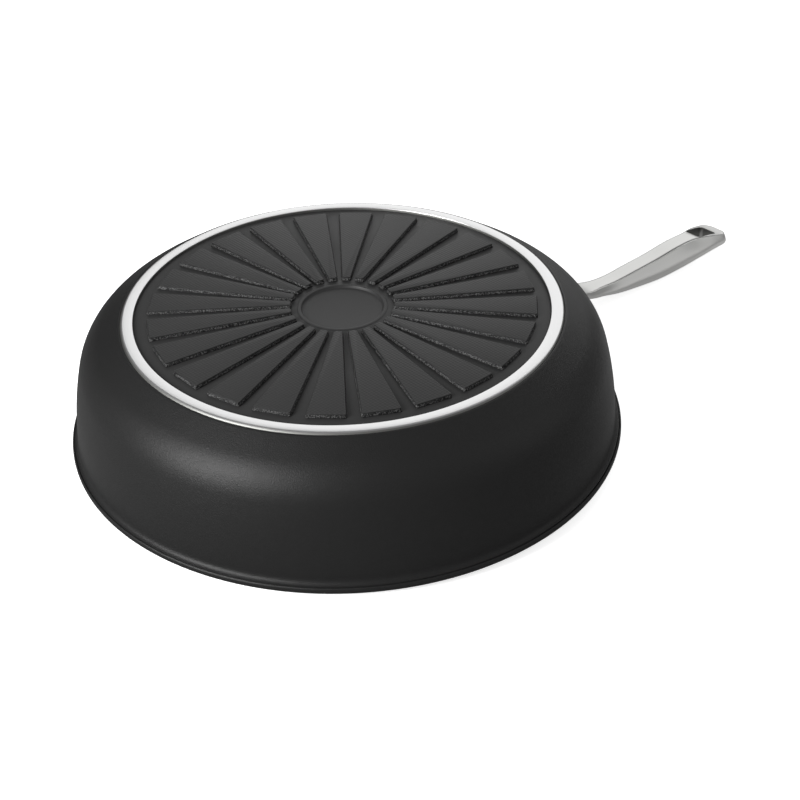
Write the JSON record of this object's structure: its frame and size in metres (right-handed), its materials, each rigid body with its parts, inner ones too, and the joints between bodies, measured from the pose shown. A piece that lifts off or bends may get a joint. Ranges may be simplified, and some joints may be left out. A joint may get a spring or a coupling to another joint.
{
  "type": "frying pan",
  "caption": "Deep round frying pan, coated black, with a bright metal ring and raised radial pads on its base, and a riveted cast metal handle with a hanging slot.",
  "frame": {"origin": "centre of the rim circle, in the plane that the rim stands on", "axes": "stored upside down, as the picture shows it: +Z points out of the base, so the bowl opens towards -Z, and +X runs along the handle. The XZ plane is the plane of symmetry. In use the pan is turned over about X."},
  "size_m": [0.4441, 0.28, 0.0816],
  "materials": {
    "coated_aluminium": "black non-stick coat on forged aluminium, satin",
    "ring_steel": "bare turned stainless steel, fine circular lines",
    "coated_plate": "black coat, matt, fine raised texture",
    "handle_steel": "cast stainless steel, fine satin",
    "rivet_steel": "stainless steel, satin"
  },
  "bodies": {
    "root": {"pan_body": "coated_aluminium", "base_ring": "ring_steel", "base_plate": "coated_plate", "handle": "handle_steel", "rivets": "rivet_steel"}
  },
  "joints": []
}
